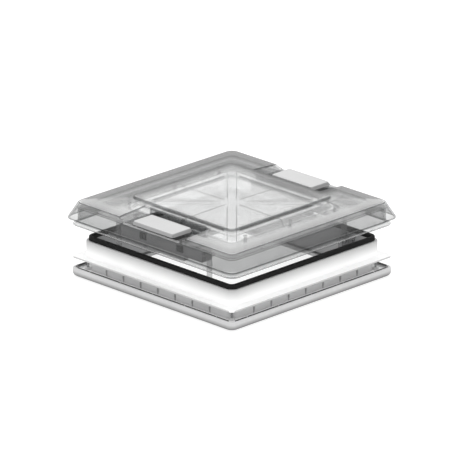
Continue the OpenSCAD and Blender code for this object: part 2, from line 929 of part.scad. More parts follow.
module cover_plate() {
    r = plate_corner_r;
    translate([0, -plate_outer + plate_w / 2, platform_z])
        linear_extrude(plate_t) {
            square([plate_len, plate_w - 2 * r], center = true);
            square([plate_len - 2 * r, plate_w], center = true);
            for (x = [-1, 1], y = [-1, 1])
                translate([x * (plate_len / 2 - r), y * (plate_w / 2 - r)])
                    circle(r);
        }
}

module front_cover_plate() {
    color(white_plastic)
        cover_plate();
}

module rear_cover_plate() {
    color(white_plastic)
        to_rear()
            cover_plate();
}

// Block under the pan that holds a hinge pin, with a foot for the dome screws
module hinge_blocks() {
    for (side = [-1, 1])
        mirror([side < 0 ? 1 : 0, 0, 0])
            difference() {
                translate([0, -hinge_d, 0]) {
                    box([block_in, -block_w / 2, axis_z], [block_out, block_w / 2, pan_under]);
                    translate([0, 0, axis_z])
                        along_x(block_w / 2, block_in, block_out);
                    box([foot_in, -foot_w / 2, pan_under - foot_t], [foot_out, foot_w / 2, pan_under]);
                }
                translate([0, -hinge_d, axis_z])
                    along_x(pin_r + pin_clearance, 0, far);
                at_dome_screws(dome_screw_end - cut)
                    cylinder(r = dome_screw_r + screw_gap / 2, h = foot_t + 2 * cut);
            }
}

module front_hinge_blocks() {
    color(black_plastic)
        hinge_blocks();
}

module rear_hinge_blocks() {
    color(black_plastic)
        to_rear()
            hinge_blocks();
}

// Sleeves around the dome screws, between pan and notch floor
module spacers() {
    height = floor_z - shell_t - pan_top;
    at_dome_screws(pan_top)
        difference() {
            cylinder(r = spacer_d / 2, h = height);
            translate([0, 0, -cut])
                cylinder(r = dome_screw_r + screw_gap, h = height + 2 * cut);
        }
}

module front_spacers() {
    color(clear_tint)
        spacers();
}

module rear_spacers() {
    color(clear_tint)
        to_rear()
            spacers();
}

module dome_screws() {
    at_dome_screws(0) {
        translate([0, 0, platform_z - dome_head_h])
            cylinder(r = dome_head_d / 2, h = dome_head_h);
        translate([0, 0, dome_screw_end])
            cylinder(r = dome_screw_r, h = platform_z - dome_screw_end);
    }
}

module front_dome_screws() {
    color(steel)
        dome_screws();
}

module rear_dome_screws() {
    color(steel)
        to_rear()
            dome_screws();
}

// Posts between the shells on the sides without notches
module shell_posts() {
    color(clear_tint)
        intersection() {
            for (x = [-1, 1], i = [-1:1])
                translate([x * post_d, i * post_pitch, pan_top])
                    cylinder(r = spacer_d / 2, h = panel_z - pan_top);
            loft(dome_space);
        }
}

outer_frame();
neck_liner();
inner_trim();
dome_seal();
clamp_screws();
front_left_guide();
front_right_guide();
rear_left_guide();
rear_right_guide();
guide_screws();
detent_springs();
front_lift_bar();
front_handle();
rear_lift_bar();
rear_handle();
front_pins();
front_pin_clips();
rear_pins();
rear_pin_clips();
outer_dome();
inner_dome();
front_cover_plate();
rear_cover_plate();
front_hinge_blocks();
rear_hinge_blocks();
front_spacers();
rear_spacers();
front_dome_screws();
rear_dome_screws();
shell_posts();
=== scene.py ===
"""Looks of a square lift-and-tilt roof vent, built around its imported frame."""

import json
import math
from types import SimpleNamespace

import bmesh
import bpy
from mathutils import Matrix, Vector


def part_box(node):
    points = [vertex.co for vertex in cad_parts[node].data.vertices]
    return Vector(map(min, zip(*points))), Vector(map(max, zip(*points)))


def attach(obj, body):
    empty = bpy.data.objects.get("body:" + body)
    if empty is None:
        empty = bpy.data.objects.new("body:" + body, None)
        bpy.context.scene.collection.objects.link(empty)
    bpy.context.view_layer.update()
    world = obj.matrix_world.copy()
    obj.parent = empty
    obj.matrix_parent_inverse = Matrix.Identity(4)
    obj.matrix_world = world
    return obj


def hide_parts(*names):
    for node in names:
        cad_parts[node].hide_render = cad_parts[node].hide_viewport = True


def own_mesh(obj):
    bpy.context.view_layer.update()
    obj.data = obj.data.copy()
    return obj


bl_info = {
    "name": "Roof Vent Looks",
    "version": (1, 0, 0),
    "blender": (4, 5, 0),
    "location": "View3D > Sidebar > Roof Vent",
    "description": "Builds the clear dome, frame, seal and trim of a square roof vent",
    "category": "Object",
}

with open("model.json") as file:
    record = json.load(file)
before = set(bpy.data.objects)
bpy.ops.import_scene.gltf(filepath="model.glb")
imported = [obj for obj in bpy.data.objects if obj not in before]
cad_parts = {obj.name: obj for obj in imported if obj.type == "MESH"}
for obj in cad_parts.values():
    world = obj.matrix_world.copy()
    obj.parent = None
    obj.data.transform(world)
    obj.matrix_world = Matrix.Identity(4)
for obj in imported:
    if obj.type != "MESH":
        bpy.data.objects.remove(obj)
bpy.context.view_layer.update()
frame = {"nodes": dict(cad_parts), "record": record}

MM = 0.001

# Steps round a square's corner, over an eased edge, over a lesser edge and round a turned piece
CORNER_STEPS = 10
EASE_STEPS = 6
EDGE_STEPS = 4
TURN_STEPS = 24

# Degrees past which an edge is drawn sharp, on most pieces and on the clear shells
SHARP_ANGLE = 32.0
SHELL_SHARP_ANGLE = 24.0

# Offsets of the mesh columns along each side of the dome, from the middle of the side
DOME_COLUMNS = [0, 27, 54.5, 56, 66, 74.2, 76, 88.2, 90, 100, 118]
PAN_COLUMNS = [2, 12, 23, 34, 40, 52, 64, 76, 88, 100, 112, 118]

# The outer line of the star's pads, darkened as painted shade, and the gap and the end of the pads along a
# side
PAD_LINE = 122
PAD_GAP = (34, 40)
PAD_END = 112

# The inner line of the star's pads, and the half sides of the rows within it
PAD_FOOT = 99
STAR_ROWS = [90, 80, 68, 56, 44, 32, 22]

# The height of the lip under each notch, whose strip is a painted highlight, and the width of the painted
# shade lines at a notch's ends
LIP_Z = 142.0
NOTCH_LINE = 1.8

# Distance of the clamp screws from the middle along x and y, and places of the posts between the shells
CLAMP_PLACE = 195.5
POST_X, POST_Y = 157, 121

# The dome's roof: its outer half side, the raised panel's half side and foot, and where its outer band with
# painted shade ends
ROOF_HALF = 210.5
PANEL_HALF = 138.0
PANEL_FOOT_Z = 158.5
ROOF_SHADE_HALF = 190

# The inner and outer ends of the platform under a cover plate, from the middle
PLATFORM_INNER = 161.0
PLATFORM_OUTER = 213.0

# Kinds of finish on the clear shells: plain walls, edges darkened as painted shade, strips that mirror more
# as painted highlights, the dome's roof made clearer as painted light, the pan's floor, the pan's shelf and
# the dome's outer roof band with a dimmer mirror as painted shade, and the lines round the star's pads, at
# the shoulder and at the notches' ends, darkened as painted shade
CLEAR, EDGE_SHADE, GLINT, TOP_LIT, FLOOR, SHELF_SHADE, LINE_SHADE = range(7)
SHELL_FINISHES = (
    "clear_acrylic", "acrylic_edge", "acrylic_glint", "acrylic_top", "acrylic_pan", "acrylic_shelf",
    "acrylic_line")


# Sizes and colours


class RoofVentSizes(bpy.types.PropertyGroup):
    """Sizes of the pieces that are drawn anew over the frame."""

    shell: bpy.props.FloatProperty(
        name="Shell wall", description="Wall of the dome and of the inner pan",
        default=3.0 * MM, unit="LENGTH")
    rim_half: bpy.props.FloatProperty(
        name="Dome half side", description="Half the dome's side at its rim",
        default=227.7 * MM, unit="LENGTH")
    rim_z: bpy.props.FloatProperty(
        name="Rim height", description="Height of the dome's rim", default=119.0 * MM, unit="LENGTH")
    roof_z: bpy.props.FloatProperty(
        name="Shoulder height", description="Height of the dome's shoulder",
        default=153.5 * MM, unit="LENGTH")
    notch_floor: bpy.props.FloatProperty(
        name="Notch floor", description="Height of the floor of the two notches",
        default=145.0 * MM, unit="LENGTH")
    notch_inner: bpy.props.FloatProperty(
        name="Notch wall", description="Distance of the notch's inner wall from the middle",
        default=144.5 * MM, unit="LENGTH")
    notch_foot: bpy.props.FloatProperty(
        name="Notch foot", description="Half the notch's length at its floor",
        default=76.0 * MM, unit="LENGTH")
    notch_top: bpy.props.FloatProperty(
        name="Notch top", description="Half the notch's length at the roof",
        default=90.0 * MM, unit="LENGTH")
    platform_z: bpy.props.FloatProperty(
        name="Platform height", description="Height of the platform under a cover plate",
        default=149.0 * MM, unit="LENGTH")
    platform_half: bpy.props.FloatProperty(
        name="Platform half length", description="Half the platform's length",
        default=54.5 * MM, unit="LENGTH")
    shelf_z: bpy.props.FloatProperty(
        name="Pan shelf", description="Height of the inner pan's flat shelf",
        default=141.0 * MM, unit="LENGTH")
    star_half: bpy.props.FloatProperty(
        name="Star half side", description="Half the side of the pan's folded star",
        default=140.0 * MM, unit="LENGTH")
    star_top: bpy.props.FloatProperty(
        name="Star top", description="Half the side of the star's nearly flat top",
        default=133.0 * MM, unit="LENGTH")
    star_rise: bpy.props.FloatProperty(
        name="Star rise", description="Rise of the star from the shelf to the middle",
        default=9.5 * MM, unit="LENGTH")
    star_fold: bpy.props.FloatProperty(
        name="Star fold", description="Depth of the star's folds", default=0.7 * MM, unit="LENGTH")
    seal_keep: bpy.props.FloatProperty(
        name="Seal kept", description="Share of the seal's height left when the dome is down",
        default=0.6, subtype="FACTOR", min=0.1, max=1.0)


class RoofVentFinish(bpy.types.PropertyGroup):
    """Colours and clearness of the finishes."""

    acrylic: bpy.props.FloatVectorProperty(
        name="Acrylic tint", description="Light that one face of the clear shells passes", size=3,
        default=(0.825, 0.827, 0.827), subtype="COLOR", min=0, max=1)
    # The roof's tint, clearer than the skirts' though the walls are equally thick: painted light
    acrylic_top: bpy.props.FloatVectorProperty(
        name="Acrylic roof", description="Light that one face of the dome's thin roof passes", size=3,
        default=(0.95, 0.952, 0.952), subtype="COLOR", min=0, max=1)
    acrylic_pan: bpy.props.FloatVectorProperty(
        name="Acrylic pan", description="Light that one face of the inner pan's floor passes", size=3,
        default=(0.88, 0.882, 0.882), subtype="COLOR", min=0, max=1)
    # The edges' tint, darker than the walls': painted shade
    acrylic_edge: bpy.props.FloatVectorProperty(
        name="Acrylic edge", description="Light that the shells' steep and folded edges pass", size=3,
        default=(0.6, 0.605, 0.605), subtype="COLOR", min=0, max=1)
    # The lines' tint, darker still: painted shade
    acrylic_line: bpy.props.FloatVectorProperty(
        name="Acrylic line", description="Light that the lines round the star's pads pass", size=3,
        default=(0.4, 0.403, 0.403), subtype="COLOR", min=0, max=1)
    acrylic_post: bpy.props.FloatVectorProperty(
        name="Acrylic post", description="Light that one face of the posts between the shells passes",
        size=3, default=(0.7, 0.703, 0.703), subtype="COLOR", min=0, max=1)
    # The strips that mirror more along edges and on the pads: painted highlights
    acrylic_glint: bpy.props.FloatVectorProperty(
        name="Acrylic glint", description="Light that the shells' polished edges pass", size=3,
        default=(0.94, 0.94, 0.94), subtype="COLOR", min=0, max=1)
    white: bpy.props.FloatVectorProperty(
        name="Frame white", description="White moulding of the frame", size=3,
        default=(0.96, 0.96, 0.958), subtype="COLOR", min=0, max=1)
    plate: bpy.props.FloatVectorProperty(
        name="Plate white", description="Satin cover plates", size=3,
        default=(0.54, 0.54, 0.54), subtype="COLOR", min=0, max=1)
    trim: bpy.props.FloatVectorProperty(
        name="Trim grey", description="Pale grey of the trim ring", size=3,
        default=(0.46, 0.46, 0.462), subtype="COLOR", min=0, max=1)
    liner: bpy.props.FloatVectorProperty(
        name="Liner grey", description="Mid grey of the neck liner", size=3,
        default=(0.36, 0.36, 0.364), subtype="COLOR", min=0, max=1)
    bar: bpy.props.FloatVectorProperty(
        name="Bar grey", description="Dark grey of the lift bars and guides", size=3,
        default=(0.27, 0.27, 0.274), subtype="COLOR", min=0, max=1)
    leg: bpy.props.FloatVectorProperty(
        name="Leg grey", description="Mid grey of the lift bars' arms, legs and guides", size=3,
        default=(0.42, 0.42, 0.423), subtype="COLOR", min=0, max=1)
    hinge: bpy.props.FloatVectorProperty(
        name="Hinge black", description="Black of the hinge blocks and clips", size=3,
        default=(0.012, 0.012, 0.012), subtype="COLOR", min=0, max=1)
    rubber: bpy.props.FloatVectorProperty(
        name="Seal black", description="Black rubber of the seal", size=3,
        default=(0.007, 0.007, 0.007), subtype="COLOR", min=0, max=1)
    steel: bpy.props.FloatVectorProperty(
        name="Steel", description="Plain steel of screws, pins and springs", size=3,
        default=(0.4, 0.405, 0.41), subtype="COLOR", min=0, max=1)


def current_sizes():
    """The sizes by name: the lengths in millimetres, and the seal's share as it is."""
    group = bpy.context.scene.roof_vent_sizes
    values = {name: getattr(group, name) for name in group.__annotations__}
    share = values.pop("seal_keep")
    lengths = {name: round(value / MM, 4) for name, value in values.items()}
    return SimpleNamespace(**lengths, seal_keep=share)


# Materials

# The part of a noise's range that is used, and how far moulded plastic's roughness strays
NOISE_SPAN = (0.3, 0.7)
SHEEN_CHANGE = 0.06

# How fast the acrylic's mirroring grows towards a glancing look
GRAZING_POWER = 2.8

# Clear finishes: name of the tint, share mirrored face on, share added at a glance, brightness mirrored
ACRYLICS = {
    "clear_acrylic": ("acrylic", 0.012, 1.05, 0.9),
    "acrylic_top": ("acrylic_top", 0.03, 0.42, 0.9),
    "acrylic_pan": ("acrylic_pan", 0.06, 1.75, 0.9),
    "acrylic_shelf": ("acrylic_pan", 0.06, 1.75, 0.56),
    "acrylic_edge": ("acrylic_edge", 0.05, 0.15, 0.9),
    "acrylic_line": ("acrylic_line", 0.02, 0.05, 0.9),
    "acrylic_post": ("acrylic_post", 0.05, 0.15, 0.9),
    "acrylic_glint": ("acrylic_glint", 0.22, 0.7, 0.9),
}

# Mouldings: name and share of the colour, roughness, scale and depth of the grain, change of tone
PLASTICS = {
    "white_plastic": ("white", 1.0, 0.34, 900.0, 0.05, 0.015),
    "plate_white": ("plate", 1.0, 0.42, 700.0, 0.10, 0.03),
    "liner_grey": ("liner", 1.0, 0.5, 800.0, 0.15, 0.06),
    "trim_grey": ("trim", 1.0, 0.45, 800.0, 0.12, 0.04),
    # The tray's copy of the trim's grey is lighter, painted light, and the ribs' copy is darker, painted
    # shade
    "trim_tray": ("trim", 1.8, 0.45, 800.0, 0.12, 0.04),
    "trim_rib": ("trim", 0.62, 0.45, 800.0, 0.12, 0.04),
    "bar_grey": ("bar", 1.0, 0.5, 800.0, 0.15, 0.08),
    "hinge_black": ("hinge", 1.0, 0.45, 800.0, 0.15, 0.10),
}

# Painted shade and painted light on the mouldings in metres: (low height, high height, share of the colour
# at each), and the distance from the middle past which it starts, if it doesn't cover the whole piece. The
# frame's upstand is painted darker towards its top and its flange darker at its outer edge, the plates'
# skirts are painted darker, and the trim's outer face is painted darker at its foot and lighter at its top
PAINTED_SHADE_AND_LIGHT = {
    "white_plastic": [((0.050, 0.074, 1.0, 0.46), None), ((0.0, 0.1, 0.55, 0.55), 0.2190)],
    "plate_white": [((0.1516, 0.1522, 0.55, 1.0), None)],
    "trim_grey": [((0.003, 0.013, 0.3, 1.2), 0.2070)],
}
SKIN_EDGE = 0.0005

# Where a lift bar turns into its half-clear arms and legs, along x in metres, and how clear they are
LEG_START = (0.1105, 0.1115)
LEG_CLEARNESS = 0.75
LEG_TINT = (0.92, 0.92, 0.92, 1)

# Width of the bevel on the edges of the frame's own pieces, by slot, in millimetres
EDGE_EASES = {
    "bar_grey": 0.5, "hinge_black": 0.3, "trim_grey": 0.8, "screw_steel": 0.15, "clear_acrylic": 0.2,
}


def node(tree, kind, **values):
    """A shader node with its inputs or settings set by name."""
    made = tree.nodes.new(kind)
    for name, value in values.items():
        if name in made.inputs:
            made.inputs[name].default_value = value
        else:
            setattr(made, name, value)
    return made


def fresh_material(name, colour):
    """A new material with an empty tree: its shader, its tree and its object coordinates."""
    made = bpy.data.materials.new(name)
    made.use_nodes = True
    tree = made.node_tree
    tree.nodes.clear()
    out = node(tree, "ShaderNodeOutputMaterial")
    shader = node(tree, "ShaderNodeBsdfPrincipled")
    shader.inputs["Base Color"].default_value = (*colour, 1)
    tree.links.new(shader.outputs["BSDF"], out.inputs["Surface"])
    made.diffuse_color = (*colour, 1)
    where = node(tree, "ShaderNodeTexCoord")
    return made, tree, shader, where.outputs["Object"]


def noise(tree, where, scale, detail):
    """Noise over the object's own coordinates."""
    made = node(tree, "ShaderNodeTexNoise", Scale=scale, Detail=detail)
    tree.links.new(where, made.inputs["Vector"])
    return made.outputs["Fac"]


def spread(tree, source, low, high):
    """The noise stretched to run from low to high."""
    return ranged(tree, source, *NOISE_SPAN, low, high)


def tinted(tree, source, colour, low, high):
    """The colour, varied between two shares of itself by the noise."""
    ramp = node(tree, "ShaderNodeValToRGB")
    for stop, position, share in zip(ramp.color_ramp.elements, NOISE_SPAN, (low, high)):
        stop.position = position
        stop.color = (*(min(c * share, 1) for c in colour), 1)
    tree.links.new(source, ramp.inputs["Fac"])
    return ramp.outputs["Color"]


def bumped(tree, shader, source, strength, distance):
    """Bump on the shader from the noise."""
    made = node(tree, "ShaderNodeBump", Strength=strength, Distance=distance)
    tree.links.new(source, made.inputs["Height"])
    tree.links.new(made.outputs["Normal"], shader.inputs["Normal"])


def ranged(tree, source, start, end, low, high):
    """The value stretched from start..end to low..high and held there outside it."""
    made = node(tree, "ShaderNodeMapRange")
    for name, value in zip(("From Min", "From Max", "To Min", "To Max"), (start, end, low, high)):
        made.inputs[name].default_value = value
    tree.links.new(source, made.inputs["Value"])
    return made.outputs["Result"]


def worked(tree, operation, *terms):
    """The result of a sum on other values and plain numbers."""
    made = node(tree, "ShaderNodeMath", operation=operation)
    for place, term in zip(made.inputs, terms):
        if isinstance(term, float):
            place.default_value = term
        else:
            tree.links.new(term, place)
    return made.outputs[0]


def blended(tree, share, first, second):
    """The first shader, turning into the second by the share."""
    made = node(tree, "ShaderNodeMixShader")
    for place, source in zip(made.inputs, (share, first.outputs[0], second.outputs[0])):
        tree.links.new(source, place)
    return made


def show(tree, shader):
    """Makes the shader the one that the material shows."""
    out = next(n for n in tree.nodes if n.type == "OUTPUT_MATERIAL")
    tree.links.new(shader.outputs[0], out.inputs["Surface"])


def painted_by_height(tree, where, colour, shade, skin):
    """The colour scaled along the height as painted shade and painted light: shade is (low height, high
    height, low share, high share).

    Where a skin is given, only what lies further out than that along x or y is scaled."""
    axes = node(tree, "ShaderNodeSeparateXYZ")
    tree.links.new(where, axes.inputs[0])
    share = ranged(tree, axes.outputs["Z"], *shade)
    if skin:
        outer = worked(tree, "MAXIMUM", *(past(tree, where, axis, skin, skin + SKIN_EDGE) for axis in "XY"))
        share = worked(tree, "MAXIMUM", share, worked(tree, "SUBTRACT", 1.0, outer))
    scaled = node(tree, "ShaderNodeVectorMath", operation="SCALE")
    tree.links.new(colour, scaled.inputs[0])
    tree.links.new(share, scaled.inputs["Scale"])
    return scaled.outputs[0]


def past(tree, where, axis, start, end):
    """0 near the middle of the object and 1 beyond a distance along an axis."""
    axes = node(tree, "ShaderNodeSeparateXYZ")
    tree.links.new(where, axes.inputs[0])
    return ranged(tree, worked(tree, "ABSOLUTE", axes.outputs[axis]), start, end, 0.0, 1.0)


def two_toned(tree, share, colour, other):
    """The colour, turning into another by the share."""
    mixed = node(tree, "ShaderNodeMixRGB")
    tree.links.new(share, mixed.inputs["Fac"])
    tree.links.new(colour, mixed.inputs["Color1"])
    tree.links.new(other, mixed.inputs["Color2"])
    return mixed.outputs["Color"]


def see_through(tree, shader, share, most):
    """The shader, made clear by the share up to the most."""
    clear = node(tree, "ShaderNodeBsdfTransparent")
    clear.inputs["Color"].default_value = LEG_TINT
    show(tree, blended(tree, worked(tree, "MULTIPLY", share, most), shader, clear))


def moulded_plastic(name, colour, rough, grain_scale, grain, vary, painted_shading, ends):
    """Moulded plastic: a fine grain, a slow change of tone, an uneven sheen and, where given, painted shade
    and light along its height.
    """
    made, tree, shader, where = fresh_material(name, colour)
    slow = noise(tree, where, scale=14.0, detail=2.0)
    fine = noise(tree, where, grain_scale, detail=4.0)
    shown = tinted(tree, slow, colour, 1 - vary, 1 + vary)
    for shade, skin in painted_shading:
        shown = painted_by_height(tree, where, shown, shade, skin)
    if ends:
        other, start, end, most = ends
        share = past(tree, where, "X", start, end)
        shown = two_toned(tree, share, shown, tinted(tree, slow, other, 1 - vary, 1 + vary))
        see_through(tree, shader, share, most)
    tree.links.new(shown, shader.inputs["Base Color"])
    sheen = spread(tree, fine, rough - SHEEN_CHANGE, rough + SHEEN_CHANGE)
    tree.links.new(sheen, shader.inputs["Roughness"])
    bumped(tree, shader, fine, grain, distance=0.0002)
    shader.inputs["IOR"].default_value = 1.5
    return made


def seal_rubber(name, colour):
    """Matte extruded rubber with a dusty bloom."""
    made, tree, shader, where = fresh_material(name, colour)
    bloom = noise(tree, where, scale=60.0, detail=5.0)
    grain = noise(tree, where, scale=900.0, detail=2.0)
    tree.links.new(tinted(tree, bloom, colour, low=0.7, high=1.6), shader.inputs["Base Color"])
    tree.links.new(spread(tree, bloom, low=0.55, high=0.8), shader.inputs["Roughness"])
    bumped(tree, shader, grain, strength=0.25, distance=0.0002)
    shader.inputs["Specular IOR Level"].default_value = 0.25
    return made


def plain_steel(name, colour):
    """Turned and drawn steel with fine scratches."""
    made, tree, shader, where = fresh_material(name, colour)
    scratch = noise(tree, where, scale=700.0, detail=5.0)
    tree.links.new(spread(tree, scratch, low=0.22, high=0.42), shader.inputs["Roughness"])
    tree.links.new(tinted(tree, scratch, colour, low=0.85, high=1.1), shader.inputs["Base Color"])
    bumped(tree, shader, scratch, strength=0.12, distance=0.0001)
    shader.inputs["Metallic"].default_value = 1.0
    return made


def clear_acrylic(name, tint, least, grazing, shine):
    """Clear acrylic: each face passes tinted light and mirrors more of the room at a glancing look."""
    made, tree, gloss, where = fresh_material(name, (shine, shine, shine))
    haze = noise(tree, where, scale=30.0, detail=4.0)
    tree.links.new(spread(tree, haze, low=0.02, high=0.07), gloss.inputs["Roughness"])
    gloss.inputs["Metallic"].default_value = 1.0
    clear = node(tree, "ShaderNodeBsdfTransparent")
    tree.links.new(tinted(tree, haze, tint, low=0.985, high=1.015), clear.inputs["Color"])
    facing = node(tree, "ShaderNodeLayerWeight", Blend=0.5)
    steep = worked(tree, "POWER", facing.outputs["Facing"], GRAZING_POWER)
    share = worked(tree, "MULTIPLY_ADD", steep, grazing, least)
    show(tree, blended(tree, share, clear, gloss))
    return made


def make_finish(slot_name, name):
    """The material of one slot or finish."""
    look = bpy.context.scene.roof_vent_finish
    if slot_name in ACRYLICS:
        tint, least, grazing, shine = ACRYLICS[slot_name]
        return clear_acrylic(name, getattr(look, tint), least, grazing, shine)
    if slot_name in PLASTICS:
        paint, share, *surface = PLASTICS[slot_name]
        # For the trim's tray and ribs the share makes lighter and darker copies of its grey: painted light
        # and painted shade
        colour = [c * share for c in getattr(look, paint)]
        ends = (look.leg, *LEG_START, LEG_CLEARNESS) if slot_name == "bar_grey" else None
        return moulded_plastic(name, colour, *surface, PAINTED_SHADE_AND_LIGHT.get(slot_name, ()), ends)
    if slot_name == "seal_rubber":
        return seal_rubber(name, look.rubber)
    return plain_steel(name, look.steel)


def finishes():
    """The finishes by the record's slot or the shells' own kind, made once."""
    made = {}
    for slot_name in (*ACRYLICS, *PLASTICS, "seal_rubber", "screw_steel"):
        name = f"finish_{slot_name}"
        made[slot_name] = bpy.data.materials.get(name) or make_finish(slot_name, name)
    return made


# Mesh tools


def ring(half, radius, z, columns=()):
    """Points round a square with rounded corners, with columns at set offsets on each side."""
    flat = half - radius
    squeeze = min(1.0, (flat - 1) / columns[-1]) if columns else 1.0
    points = []
    for turn in range(4):
        local = [(s * squeeze, -half) for s in columns]
        for i in range(CORNER_STEPS + 1):
            b = math.pi / 2 * i / CORNER_STEPS
            local.append((flat + radius * math.sin(b), -flat - radius * math.cos(b)))
        for x, y in local:
            for _ in range(turn):
                x, y = -y, x
            points.append((x, y, z))
    return points


def both_ways(offsets):
    """The offsets to both sides of the middle, in order."""
    return [-s for s in reversed(offsets) if s > 0] + list(offsets)


def bend(start, corner, end, steps):
    """Points on a smooth bend from start to end round a corner."""
    points = []
    for i in range(steps + 1):
        t = i / steps
        points.append(tuple(
            (1 - t) ** 2 * a + 2 * t * (1 - t) * b + t * t * c
            for a, b, c in zip(start, corner, end)))
    return points


def eased(outline, steps=EDGE_STEPS):
    """A closed outline of (half, radius, z, ease) with each corner rounded by its ease."""
    points = []
    for i, (*corner, ease) in enumerate(outline):
        if ease <= 0:
            points.append(tuple(corner))
            continue
        here = Vector(corner)
        ends = []
        for other in (outline[i - 1], outline[(i + 1) % len(outline)]):
            way = Vector(other[:3]) - here
            gap = Vector((way.x, way.z)).length
            ends.append(here + way * min(ease / gap, 0.49))
        points += bend(ends[0], here, ends[1], steps)
    return points


def swept(rings, around, along):
    """Quads between the rings. around closes each ring and along joins the last ring to the first."""
    count = len(rings[0])
    faces = []
    for i in range(len(rings) if along else len(rings) - 1):
        low, high = i * count, (i + 1) % len(rings) * count
        for j in range(count if around else count - 1):
            k = (j + 1) % count
            faces.append((low + j, low + k, high + k, high + j))
    return [p for r in rings for p in r], faces


def add_piece(name, points, faces, slot_name, body, replaced=(), sharp=SHARP_ANGLE, kinds=()):
    """A mesh piece from points in millimetres, with its finish, riding on its body."""
    mesh = bpy.data.meshes.new(name)
    mesh.from_pydata([tuple(c * MM for c in p) for p in points], [], faces)
    for face, kind in zip(mesh.polygons, kinds):
        face.material_index = kind
    work = bmesh.new()
    work.from_mesh(mesh)
    bmesh.ops.remove_doubles(work, verts=work.verts, dist=1e-6)
    bmesh.ops.dissolve_degenerate(work, edges=work.edges, dist=1e-6)
    bmesh.ops.recalc_face_normals(work, faces=work.faces)
    work.to_mesh(mesh)
    work.free()
    mesh.shade_smooth()
    mesh.set_sharp_from_angle(angle=math.radians(sharp))
    made = bpy.data.objects.new(name, mesh)
    bpy.context.scene.collection.objects.link(made)
    mesh.materials.append(finishes()[slot_name])
    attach(made, body)
    if replaced:
        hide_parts(*replaced)
    return made


def merged(parts):
    """Several (points, faces) lists as one."""
    points, faces = [], []
    for part_points, part_faces in parts:
        base = len(points)
        points += part_points
        faces += [tuple(base + i for i in f) for f in part_faces]
    return points, faces


def turned(profile, x, y):
    """A closed turned solid about the upright line at x, y from (radius, z) points."""
    points, faces = [], []
    steps = TURN_STEPS
    for radius, z in profile:
        for i in range(steps):
            b = 2 * math.pi * i / steps
            points.append((x + radius * math.cos(b), y + radius * math.sin(b), z))
    for i in range(len(profile) - 1):
        for j in range(steps):
            k = (j + 1) % steps
            faces.append((i * steps + j, i * steps + k, (i + 1) * steps + k, (i + 1) * steps + j))
    faces.append(tuple(reversed(range(steps))))
    faces.append(tuple(range((len(profile) - 1) * steps, len(profile) * steps)))
    return points, faces


def at_clamps(profile):
    """The turned profile at each of the four clamp screws."""
    places = (-CLAMP_PLACE, CLAMP_PLACE)
    return [turned(profile, x, y) for x in places for y in places]


def slab(outline, x, half):
    """A flat slab across x from an outline of (distance to the front, height)."""
    points = [(x - half, -d, z) for d, z in outline] + [(x + half, -d, z) for d, z in outline]
    count = len(outline)
    faces = [tuple(range(count)), tuple(reversed(range(count, 2 * count)))]
    for j in range(count):
        k = (j + 1) % count
        faces.append((j, k, count + k, count + j))
    return points, faces


def quarter_turns(part):
    """The part at each of the four sides."""
    points, faces = part
    result = []
    for _ in range(4):
        result.append((points, faces))
        points = [(-y, x, z) for x, y, z in points]
    return merged(result)


def bevel(piece, width, angle=30.0):
    """Rounds the piece's edges that are sharper than the angle."""
    made = piece.modifiers.new("Bevel", "BEVEL")
    made.width = width * MM
    made.segments = 2
    made.limit_method = "ANGLE"
    made.angle_limit = math.radians(angle)
    made.harden_normals = False


# Shells


def shell_piece(name, rings, kinds, replaced):
    """A closed clear shell from the rings of its outer skin, with the kind of finish of each face."""
    points, faces = swept(rings, True, False)
    count = len(rings[0])
    faces.append(tuple(range((len(rings) - 1) * count, len(rings) * count)))
    made = add_piece(name, points, faces, "clear_acrylic", "dome", replaced, SHELL_SHARP_ANGLE, kinds)
    for finish in SHELL_FINISHES[1:]:
        made.data.materials.append(finishes()[finish])
    wall = made.modifiers.new("Wall", "SOLIDIFY")
    wall.thickness = current_sizes().shell * MM
    wall.offset = -1
    wall.use_even_offset = True
    wall.use_rim = True


def with_kinds(rows, *kinds):
    """The rows, each with its kind of finish."""
    return [(*row, kind) for row, kind in zip(rows, kinds)]


def dome_profile():
    """(half, corner radius, height, kind of finish up to the next row) from the dome's rim to its crown."""
    size = current_sizes()
    rim, low, roof = size.rim_half, size.rim_z, size.roof_z
    rows = [(rim - 0.4, 17.6, low, EDGE_SHADE), (rim, 18, low + 0.8, EDGE_SHADE), (rim, 18, low + 2.6, GLINT)]
    rows += [(rim - 0.4, 17.9, low + 4.0, CLEAR), (222.0, 17, 133.4, CLEAR), (217.8, 16.5, LIP_Z, CLEAR)]
    rows += [(216.4, 16.3, size.notch_floor, CLEAR)]
    shoulder = bend((214.5, 16, 149.0), (212.4, 15.5, roof - 0.1), (207.5, 15, roof + 0.2), 6)
    rows += with_kinds(shoulder, CLEAR, CLEAR, LINE_SHADE, GLINT, CLEAR, SHELF_SHADE, SHELF_SHADE)
    slope = (PANEL_FOOT_Z - roof) / (ROOF_HALF - PANEL_HALF)
    wall = size.notch_inner
    for half in (200, 187, 174, PLATFORM_INNER, PLATFORM_INNER - 1.5, wall + 1.5, wall, 141.5):
        kind = SHELF_SHADE if half > ROOF_SHADE_HALF else TOP_LIT
        rows.append((half, 15, roof + (ROOF_HALF - half) * slope, kind))
    foot = bend((140.0, 14.5, 158.36), (138.2, 14, 158.5), (137.5, 13.8, 160.3), 4)
    rows += with_kinds(foot, TOP_LIT, CLEAR, CLEAR, EDGE_SHADE, EDGE_SHADE)
    crest = bend((136.3, 13.2, 163.2), (135.3, 13, 165.35), (132.4, 12.5, 165.55), 5)
    rows += with_kinds(crest, CLEAR, CLEAR, GLINT, TOP_LIT, TOP_LIT, TOP_LIT)
    crown = [(124, 12, 165.8), (90, 11, 166.5), (60, 10, 167.0), (30, 8, 167.0), (6, 3, 167.0)]
    return rows + [(*row, TOP_LIT) for row in crown + [(3, 1.5, 167.0)]]


